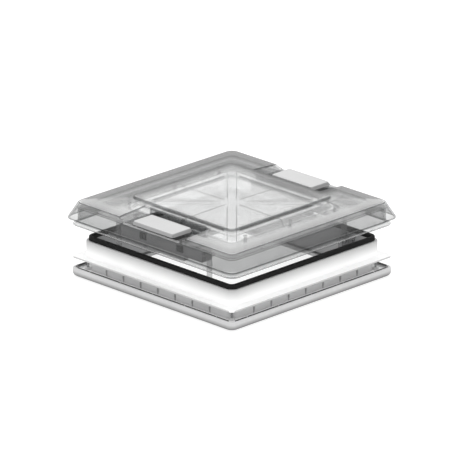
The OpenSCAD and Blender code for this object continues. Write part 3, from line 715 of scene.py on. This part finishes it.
def in_notch(x, y, half):
    """Whether a point of the dome's skin lies on a side with a notch and within the notch's length."""
    size = current_sizes()
    return abs(abs(y) - half) < 0.01 and abs(x) < size.notch_top and half > size.notch_inner + 1


def notched(x, y, z, half):
    """The height of a dome point after its notch and platform are formed."""
    size = current_sizes()
    if not in_notch(x, y, half) or z < size.notch_floor:
        return z
    if abs(x) <= size.platform_half + 0.1 and PLATFORM_INNER - 0.1 < half < PLATFORM_OUTER:
        return size.platform_z
    share = max(0.0, (abs(x) - size.notch_foot) / (size.notch_top - size.notch_foot))
    return size.notch_floor + share * (z - size.notch_floor)


def pan_star(x, y, half):
    """The height of the pan's folded star over its shelf: a steep border and a nearly flat top."""
    size = current_sizes()
    foot, brow = size.star_half, size.star_top
    border = min(1.0, (foot - half) / (foot - brow))
    crown = max(0.0, 1 - half / brow)
    along = min(abs(x), abs(y)) / half
    ridge = abs(2 * along - 1)
    depth = size.star_fold * min(1.0, 4 * crown) * min(1.0, half / 30)
    return size.star_rise * (0.8 * border + 0.2 * crown) - depth * (1 - ridge)


class ROOFVENT_OT_outer_dome(bpy.types.Operator):
    """Clear outer dome with its raised panel and the two notches for the cover plates"""

    bl_idname = "roofvent.outer_dome"
    bl_label = "Outer dome"

    def execute(self, context):
        columns = both_ways(DOME_COLUMNS)
        rings, kinds = [], []
        for half, radius, z, kind in dome_profile():
            points = ring(half, radius, z, columns)
            rings.append([(x, y, notched(x, y, h, half)) for x, y, h in points])
            for here, after in zip(points, points[1:] + points[:1]):
                kinds.append(self.kind_at((here[0] + after[0]) / 2, here[1], half, z, kind))
        shell_piece("Dome_outer", rings, kinds, ["outer_dome"])
        return {"FINISHED"}

    def kind_at(self, x, y, half, z, kind):
        """The kind of finish of one face: a notch has a painted highlight on its lip, painted shade lines
        at its ends and painted shade on its floor beside its platform.
        """
        size = current_sizes()
        if z == LIP_Z and in_notch(x, y, half) and abs(x) < size.notch_foot:
            return GLINT
        if z <= size.notch_floor or not in_notch(x, y, half):
            return kind
        if any(-NOTCH_LINE < abs(x) - end < 0 for end in (size.notch_foot, size.notch_top)):
            return LINE_SHADE
        if abs(x) > size.notch_foot:
            return CLEAR
        return EDGE_SHADE if abs(x) > size.platform_half + 2 or half < PLATFORM_INNER else SHELF_SHADE


class ROOFVENT_OT_inner_pan(bpy.types.Operator):
    """Clear inner pan: rim, upright wall, raised border, shelf and the folded star in its middle"""

    bl_idname = "roofvent.inner_pan"
    bl_label = "Inner pan"

    def execute(self, context):
        rings, kinds = [], []
        for half, radius, z, kind in self.wall() + self.star():
            columns = both_ways(self.squeezed(half - radius))
            points = ring(half, radius, z, columns)
            if half <= current_sizes().star_half:
                points = [(x, y, h + pan_star(x, y, half)) for x, y, h in points]
            rings.append(points)
            kinds += [self.fold(i, half, kind) for i in range(len(points))]
        shell_piece("Pan_inner", rings, kinds, ["inner_dome"])
        self.pads()
        return {"FINISHED"}

    def pads(self):
        """Clear pads between the hinge blocks and the shelf over them."""
        size = current_sizes()
        low, high = 133.6, size.shelf_z - size.shell + 0.1
        outline = [(167, low), (185, low), (185, high), (167, high)]
        points, faces = merged([slab(outline, x, 14) for x in (-51, 51)])
        rear = [(-x, -y, z) for x, y, z in points]
        both = merged([(points, faces), (rear, faces)])
        bevel(add_piece("Pan_pads", *both, "clear_acrylic", "dome"), 0.4)

    def wall(self):
        """Rows from the pan's rim over its wall and border to the edge of the star."""
        size = current_sizes()
        shelf = size.shelf_z
        rows = [(221.2, 20.2, 106.4, EDGE_SHADE), (221.7, 20.65, 107.0, EDGE_SHADE), (221.7, 20.65, 108.0, GLINT)]
        foot = bend((220.6, 20, 109.4), (214.5, 17, 110.6), (214.4, 17, 113.4), 5)
        rows += with_kinds(foot, GLINT, CLEAR, CLEAR, EDGE_SHADE, EDGE_SHADE, CLEAR)
        rows += [(213.9, 16.5, 122.0, CLEAR)]
        top = bend((213.2, 15.8, shelf - 2.2), (213.1, 15.5, shelf), (210.6, 14, shelf), 4)
        rows += with_kinds(top, EDGE_SHADE, EDGE_SHADE, GLINT, GLINT, SHELF_SHADE)
        rows += [(199, 13.5, shelf, SHELF_SHADE), (184, 13.6, shelf, SHELF_SHADE), (168, 13.8, shelf, SHELF_SHADE)]
        rows += [(150, 14, shelf, EDGE_SHADE), (146, 14, shelf, FLOOR)]
        return rows

    def squeezed(self, flat):
        """The pan's columns drawn in to a side's straight length, with the middle fold's width kept."""
        share = min(1.0, (flat - 1) / PAN_COLUMNS[-1])
        return [min(PAN_COLUMNS[0], flat / 3)] + [max(c * share, flat / 3) for c in PAN_COLUMNS[1:]]

    def star(self):
        """Rows of the star, with the line round its pads, darkened as painted shade, and the pads
        themselves, brightened as painted highlights.
        """
        size = current_sizes()
        rows = []
        border = [size.star_half, size.star_top, size.star_top - 3]
        for half in border + [PAD_LINE, 113, 106, PAD_FOOT] + STAR_ROWS:
            kind = LINE_SHADE if half == PAD_LINE else GLINT if PAD_FOOT < half < PAD_LINE else FLOOR
            if half == size.star_half:
                kind = TOP_LIT
            rows.append((half, min(14, half * 0.55), size.shelf_z, kind))
        return rows

    def fold(self, place, half, kind):
        """The kind of finish of one face: the star's folds are darkened as painted shade, and its pads stop
        at gaps.
        """
        size = current_sizes()
        columns = both_ways(PAN_COLUMNS)
        spot = place % (len(columns) + CORNER_STEPS + 1)
        if half > size.star_half:
            return kind
        if spot >= len(columns):
            corner = spot - len(columns)
            return EDGE_SHADE if corner in (0, CORNER_STEPS - 1) else FLOOR
        if columns[spot] == -PAN_COLUMNS[0]:
            return EDGE_SHADE
        reach = abs(columns[spot] + 1)
        on_pad = reach < PAD_GAP[0] or PAD_GAP[1] < reach < PAD_END
        return kind if on_pad else FLOOR


class ROOFVENT_OT_shell_posts(bpy.types.Operator):
    """Turned posts that hold the two shells apart"""

    bl_idname = "roofvent.shell_posts"
    bl_label = "Shell posts"

    def execute(self, context):
        low, high = current_sizes().shelf_z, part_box("shell_posts")[1].z / MM
        profile = [(4.0, low), (4.0, low + 1.5), (3.2, low + 3), (3.0, high - 3.5), (4.0, high - 0.4)]
        parts = [turned(profile, x, y) for x in (-POST_X, POST_X) for y in (-POST_Y, 0, POST_Y)]
        made = add_piece("Posts_clear", *merged(parts), "clear_acrylic", "dome", ["shell_posts"])
        made.data.materials[0] = finishes()["acrylic_post"]
        return {"FINISHED"}


# Frame, liner, trim and seal


class ROOFVENT_OT_outer_frame(bpy.types.Operator):
    """White outer frame: neck, hollow upstand, ledge, roof flange and its four screw bosses"""

    bl_idname = "roofvent.outer_frame"
    bl_label = "Outer frame"

    def execute(self, context):
        outline = [
            (193.5, 20.7, 10, 0.6), (196, 23.2, 10, 0.6), (196, 23.2, 71.5, 0.8),
            (200, 13.5, 71.5, 0.8), (200, 13.5, 39.6, 0.6), (201, 13.0, 39, 0.5),
            (220, 12, 39, 0.9), (220, 12, 42, 1.2), (202.5, 16, 42, 2.2),
            (202.5, 16, 74, 1.4), (193.5, 20.7, 74, 0.5),
        ]
        rings = [ring(*row) for row in eased(outline)]
        parts = [swept(rings, True, True)]
        boss = [(3.4, 30.2), (4.0, 30.0), (4.5, 30.6), (4.6, 37.5), (5.6, 39.2)]
        parts += at_clamps(boss)
        add_piece("Frame_white", *merged(parts), "white_plastic", "frame", ["outer_frame"])
        return {"FINISHED"}


class ROOFVENT_OT_neck_liner(bpy.types.Operator):
    """Grey liner sleeve inside the frame's neck"""

    bl_idname = "roofvent.neck_liner"
    bl_label = "Neck liner"

    def execute(self, context):
        outline = [
            (190.8, 18, 10, 0.8), (193.3, 20.5, 10, 0.5),
            (193.3, 20.5, 74, 0.5), (190.8, 18, 74, 0.9),
        ]
        rings = [ring(*row) for row in eased(outline)]
        add_piece("Liner_grey", *swept(rings, True, True), "liner_grey", "frame", ["neck_liner"])
        return {"FINISHED"}


class ROOFVENT_OT_trim_ring(bpy.types.Operator):
    """Pale grey trim ring with its bull-nosed edge, tray, sleeve, ribs and screw seats"""

    bl_idname = "roofvent.trim_ring"
    bl_label = "Trim ring"

    def execute(self, context):
        outline = [
            (187, 14.2, 0, 0.8), (220, 12, 0, 13), (220, 12, 19, 3.2), (216, 11, 19, 0.4),
            (216.4, 11, 14.6, 1.2), (199, 26.2, 14.4, 0.6), (199, 26.2, 27.5, 0.7),
            (196.5, 23.7, 27.5, 0.7), (196.5, 23.7, 2.5, 0.6), (189.5, 16.7, 2.5, 0.6),
            (189.5, 16.7, 7, 0.8), (187, 14.2, 7, 0.9),
        ]
        rings = [ring(*row) for row in eased(outline, EASE_STEPS)]
        parts = [swept(rings, True, True)]
        # The tray's floor lies between the outline's fifth and sixth corners; it takes a lighter copy of
        # the trim's grey, painted light
        tray_row = 5 * (EASE_STEPS + 1) - 1
        kinds = [int(row == tray_row) for row in range(len(rings)) for _ in rings[0]]
        seat = [(6.5, 14.2), (6.5, 16.0), (6.1, 16.6), (4.7, 16.8), (4.5, 17.5), (4.0, 18.0), (2.3, 18.0)]
        parts += at_clamps(seat)
        made = add_piece("Trim_ring", *merged(parts), "trim_grey", "frame", ["inner_trim"], kinds=kinds)
        made.data.materials.append(finishes()["trim_tray"])
        ribs = add_piece("Trim_ribs", *quarter_turns(merged(self.gussets())), "trim_grey", "frame")
        # The ribs take a darker copy of the trim's grey: painted shade on their sides
        ribs.data.materials[0] = finishes()["trim_rib"]
        # A dark strip stands for the shadow gap inside the rim: painted shadow
        self.gasket()
        return {"FINISHED"}

    def gussets(self):
        """The ribs along the trim's front side, each a thin strip up the sleeve."""
        outline = [
            (198.8, 14.3), (199.3, 14.3), (199.6, 18.0), (200.8, 22.0), (200.8, 26.2), (198.8, 26.8),
        ]
        return [slab(outline, (i - 3) * 46.8, 1.4) for i in range(7)]

    def gasket(self):
        """A black rubber strip put along the inside of the trim's rim where its shadow gap lies, as a
        painted shadow, in lengths with small breaks between.
        """
        outline = [(212.6, 18.3), (216.3, 18.1), (216.3, 19.2), (212.9, 19.2), (212.6, 18.9)]
        lengths = [(-205, -174), (-171, -89), (-86, -1.5), (1.5, 86), (89, 171), (174, 205)]
        strips = [slab(outline, (a + b) / 2, (b - a) / 2) for a, b in lengths]
        add_piece("Trim_gasket", *quarter_turns(merged(strips)), "seal_rubber", "frame")


class ROOFVENT_OT_dome_seal(bpy.types.Operator):
    """Black rubber seal on the frame's ledge, in two halves"""

    bl_idname = "roofvent.dome_seal"
    bl_label = "Dome seal"

    def execute(self, context):
        size = current_sizes()
        outline = [
            (191, 8, 74, 0.4), (199, 16, 74, 0.4), (199, 16, 83, 3.0), (191, 8, 83, 3.0),
        ]
        rows = eased(outline, EASE_STEPS)
        for name, way, joint in (("Seal_front", 1, "front_lift"), ("Seal_rear", -1, "rear_lift")):
            rings = [self.half_ring(half, radius, z, way) for half, radius, z in rows]
            points, faces = swept(rings, False, True)
            count = len(rings[0])
            faces.append(tuple(i * count for i in range(len(rings))))
            faces.append(tuple(i * count + count - 1 for i in reversed(range(len(rings)))))
            made = add_piece(name, points, faces, "seal_rubber", "frame", ["dome_seal"])
            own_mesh(made)
        return {"FINISHED"}

    def half_ring(self, half, radius, z, way):
        """Points round the half of a square that lies on one side of the middle."""
        loop = ring(half, radius, z)
        start = len(loop) - CORNER_STEPS - 1
        turned_loop = loop[start:] + loop[: CORNER_STEPS + 1]
        path = [(-half, 0, z)] + turned_loop + [(half, 0, z)]
        return [(x * way, y * way, h) for x, y, h in path]


# Cover plates and carried-over metal and plastic


class ROOFVENT_OT_cover_plates(bpy.types.Operator):
    """Satin cover plates over the notches' platforms, with a flared skirt and a plain sunk face"""

    bl_idname = "roofvent.cover_plates"
    bl_label = "Cover plates"

    def execute(self, context):
        for name, cad_node in (("Plate_front", "front_cover_plate"), ("Plate_rear", "rear_cover_plate")):
            low, high = (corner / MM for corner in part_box(cad_node))
            middle = (low + high) / 2
            half_x, half_y = (high.x - low.x) / 2, (high.y - low.y) / 2
            foot, top = current_sizes().notch_floor + 0.6, high.z + 1.5
            rows = [(-2.3, foot), (-2.8, foot + 0.5), (0.0, top - 0.8), (0.25, top - 0.2), (0.8, top)]
            rows += [(3.6, top), (3.9, top - 0.15), (4.2, top - 0.45), (6.0, top - 0.5)]
            rings = [self.plate_ring(middle, half_x - inset, half_y - inset, max(2.5 - inset, 0.8), z)
                     for inset, z in rows]
            points, faces = swept(rings, True, False)
            count = len(rings[0])
            faces.append(tuple(reversed(range(count))))
            faces.append(tuple(range((len(rings) - 1) * count, len(rings) * count)))
            add_piece(name, points, faces, "plate_white", "dome", [cad_node])
        return {"FINISHED"}

    def plate_ring(self, middle, half_x, half_y, radius, z):
        """Points round a rectangle with rounded corners."""
        points = []
        for sx, sy, start in ((1, -1, -90), (1, 1, 0), (-1, 1, 90), (-1, -1, 180)):
            for i in range(7):
                b = math.radians(start + 15 * i)
                points.append((middle.x + sx * (half_x - radius) + radius * math.cos(b),
                               middle.y + sy * (half_y - radius) + radius * math.sin(b), z))
        return points


class ROOFVENT_OT_lift_gear(bpy.types.Operator):
    """Finishes for the lift bars, guides, handles, hinges, spacers and screws of the frame"""

    bl_idname = "roofvent.lift_gear"
    bl_label = "Lift gear"

    def execute(self, context):
        looks = finishes()
        slots = {row["node"]: row["material_slot"] for row in frame["record"]["subparts"]}
        for name, piece in frame["nodes"].items():
            if piece.hide_render:
                continue
            slot_name = slots[name]
            if slot_name not in EDGE_EASES:
                raise RuntimeError(f"{name} has no finish here")
            piece.data.materials.clear()
            piece.data.materials.append(looks[slot_name])
            weld = piece.modifiers.new("Weld", "WELD")
            weld.merge_threshold = 1e-6
            bevel(piece, EDGE_EASES[slot_name], 40.0)
        self.hinge_caps()
        return {"FINISHED"}

    def hinge_caps(self):
        """Black caps on the lift bars' outer faces, over the hinge pockets."""
        outline = [(188.8, 110), (190.0, 110), (190.3, 110.5), (190.3, 123.5), (190.0, 124), (188.8, 124)]
        for name, body, way in (("Caps_front", "front_bar", 1), ("Caps_rear", "rear_bar", -1)):
            points, faces = merged([slab(outline, x, 9.0) for x in (-50, 50)])
            points = [(x * way, y * way, z) for x, y, z in points]
            bevel(add_piece(name, points, faces, "hinge_black", body), 0.4, 60.0)


# Stage

# The floor's half side in metres, its grey and its own glow
FLOOR_REACH = 30.0
FLOOR_GREY = (0.35, 0.35, 0.35)
FLOOR_GLOW = 0.78

# What gloss mirrors of the room: (height from the horizon up, brightness)
ROOM_BANDS = ((0.2, 0.3), (0.245, 0.5), (0.32, 0.92), (0.44, 0.94), (1.0, 0.8))

# Strength of the room's light on matt surfaces, of the backdrop and of what gloss mirrors
ROOM_STRENGTH = 1.22
BACKDROP_STRENGTH = 1.0
MIRROR_STRENGTH = 1.4
WHITE = (1, 1, 1, 1)

# The lamp's place and the camera's lens and sensor in millimetres, its width of view in metres,
# and how far its aim lies from the origin to the right and up
LAMP_PLACE = Vector((-0.6, 0.4, 3.0))
LENS, SENSOR = 500.0, 36.0
VIEW_WIDTH = 0.9049
AIM_RIGHT, AIM_UP = 0.006, 0.0782


class ROOFVENT_OT_stage(bpy.types.Operator):
    """Pale floor, soft studio light and the camera"""

    bl_idname = "roofvent.stage"
    bl_label = "Stage"

    def execute(self, context):
        self.floor()
        self.light(context)
        self.camera(context)
        return {"FINISHED"}

    def floor(self):
        """A wide pale floor."""
        mesh = bpy.data.meshes.new("Floor")
        reach = FLOOR_REACH
        corners = [(-reach, -reach, 0), (reach, -reach, 0), (reach, reach, 0), (-reach, reach, 0)]
        mesh.from_pydata(corners, [], [(0, 1, 2, 3)])
        made = bpy.data.objects.new("Floor", mesh)
        bpy.context.scene.collection.objects.link(made)
        pale, tree, shader, where = fresh_material("floor_pale", FLOOR_GREY)
        cloud = noise(tree, where, scale=1.2, detail=2.0)
        tree.links.new(tinted(tree, cloud, FLOOR_GREY, low=0.98, high=1.02), shader.inputs["Base Color"])
        shader.inputs["Roughness"].default_value = 0.9
        shader.inputs["Specular IOR Level"].default_value = 0.0
        shader.inputs["Emission Color"].default_value = WHITE
        shader.inputs["Emission Strength"].default_value = FLOOR_GLOW
        mesh.materials.append(pale)
        made.visible_glossy = False

    def light(self, context):
        """A white room: even for matt surfaces, and banded by height for what gloss mirrors."""
        world = bpy.data.worlds.new("Studio")
        context.scene.world = world
        world.use_nodes = True
        tree = world.node_tree
        tree.nodes.clear()
        out = node(tree, "ShaderNodeOutputWorld")
        where = node(tree, "ShaderNodeTexCoord")
        axes = node(tree, "ShaderNodeSeparateXYZ")
        tree.links.new(where.outputs["Generated"], axes.inputs[0])
        bands = node(tree, "ShaderNodeValToRGB")
        ramp = bands.color_ramp
        while len(ramp.elements) < len(ROOM_BANDS):
            ramp.elements.new(1.0)
        for stop, (height, light) in zip(ramp.elements, ROOM_BANDS):
            stop.position = height
            stop.color = (light, light, light, 1)
        tree.links.new(axes.outputs["Z"], bands.inputs["Fac"])
        room = node(tree, "ShaderNodeBackground", Strength=ROOM_STRENGTH)
        room.inputs["Color"].default_value = WHITE
        backdrop = node(tree, "ShaderNodeBackground", Strength=BACKDROP_STRENGTH)
        backdrop.inputs["Color"].default_value = WHITE
        mirrored = node(tree, "ShaderNodeBackground", Strength=MIRROR_STRENGTH)
        tree.links.new(bands.outputs["Color"], mirrored.inputs["Color"])
        path = node(tree, "ShaderNodeLightPath")
        seen = blended(tree, path.outputs["Is Camera Ray"], room, backdrop)
        lit = blended(tree, path.outputs["Is Glossy Ray"], seen, mirrored)
        tree.links.new(lit.outputs[0], out.inputs["Surface"])
        data = bpy.data.lights.new("Soft_top", "AREA")
        data.shape = "DISK"
        data.size = 3.0
        data.energy = 12.0
        lamp = bpy.data.objects.new("Soft_top", data)
        lamp.location = LAMP_PLACE
        lamp.rotation_euler = (-LAMP_PLACE).to_track_quat("-Z", "Y").to_euler()
        context.scene.collection.objects.link(lamp)
        context.scene.view_settings.view_transform = "Standard"
        context.scene.cycles.transparent_max_bounces = 64

    def camera(self, context):
        """A long lens from over the front corner."""
        around, up = math.radians(45), math.radians(20)
        way = Vector((math.sin(around) * math.cos(up), -math.cos(around) * math.cos(up), math.sin(up)))
        right = Vector((math.cos(around), math.sin(around), 0))
        aim = right * AIM_RIGHT + way.cross(right) * AIM_UP
        data = bpy.data.cameras.new("Camera")
        data.lens = LENS
        data.sensor_width = SENSOR
        data.clip_end = 100
        made = bpy.data.objects.new("Camera", data)
        made.location = aim + way * (VIEW_WIDTH * LENS / SENSOR)
        made.rotation_euler = (-way).to_track_quat("-Z", "Y").to_euler()
        context.scene.collection.objects.link(made)
        context.scene.camera = made


# Panel and registration


BUILD_ORDER = (
    ROOFVENT_OT_outer_dome,
    ROOFVENT_OT_inner_pan,
    ROOFVENT_OT_shell_posts,
    ROOFVENT_OT_outer_frame,
    ROOFVENT_OT_neck_liner,
    ROOFVENT_OT_trim_ring,
    ROOFVENT_OT_dome_seal,
    ROOFVENT_OT_cover_plates,
    ROOFVENT_OT_lift_gear,
    ROOFVENT_OT_stage,
)


class ROOFVENT_PT_panel(bpy.types.Panel):
    """Lists the pieces of the roof vent and the sizes and colours that can be changed"""

    bl_idname = "ROOFVENT_PT_panel"
    bl_label = "Roof Vent"
    bl_space_type = "VIEW_3D"
    bl_region_type = "UI"
    bl_category = "Roof Vent"

    def draw(self, context):
        for group in (context.scene.roof_vent_sizes, context.scene.roof_vent_finish):
            for name in group.__annotations__:
                self.layout.prop(group, name)
        for step in BUILD_ORDER:
            self.layout.operator(step.bl_idname)


CLASSES = (RoofVentSizes, RoofVentFinish, *BUILD_ORDER, ROOFVENT_PT_panel)


def register():
    for item in CLASSES:
        bpy.utils.register_class(item)
    bpy.types.Scene.roof_vent_sizes = bpy.props.PointerProperty(type=RoofVentSizes)
    bpy.types.Scene.roof_vent_finish = bpy.props.PointerProperty(type=RoofVentFinish)


def unregister():
    del bpy.types.Scene.roof_vent_finish
    del bpy.types.Scene.roof_vent_sizes
    for item in reversed(CLASSES):
        bpy.utils.unregister_class(item)


def main():
    register()
    for step in BUILD_ORDER:
        group, name = step.bl_idname.split(".")
        getattr(getattr(bpy.ops, group), name)()


if __name__ == "__main__":
    main()
